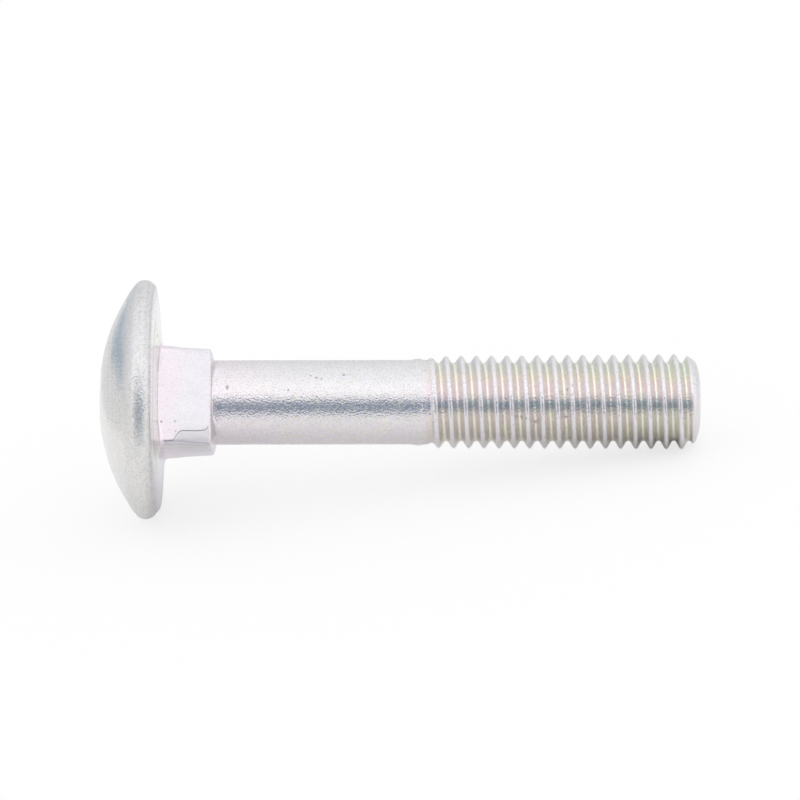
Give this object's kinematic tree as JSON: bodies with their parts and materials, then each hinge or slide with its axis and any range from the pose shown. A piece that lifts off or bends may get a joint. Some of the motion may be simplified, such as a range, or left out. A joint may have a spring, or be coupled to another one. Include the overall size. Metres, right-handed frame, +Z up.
{
  "type": "carriage bolt",
  "caption": "Steel bolt with a shallow domed cup head, a square neck that keeps it from turning, a plain shank and a rolled metric thread up to its rounded point.",
  "frame": {"origin": "on the ground, under the middle of the bolt as it lies at rest", "axes": "+Z up; +X along the bolt as it lies, from its head towards the point of its thread; its own axis dips by 7.4 degrees towards +X, because the head is wider than the thread"},
  "size_m": [0.0492, 0.0196, 0.0195],
  "materials": {
    "zinc_plate": "bright zinc plating with a faintly iridescent clear passivation, over forged and rolled steel"
  },
  "bodies": {
    "root": {"carriage_bolt": "zinc_plate"}
  },
  "joints": []
}
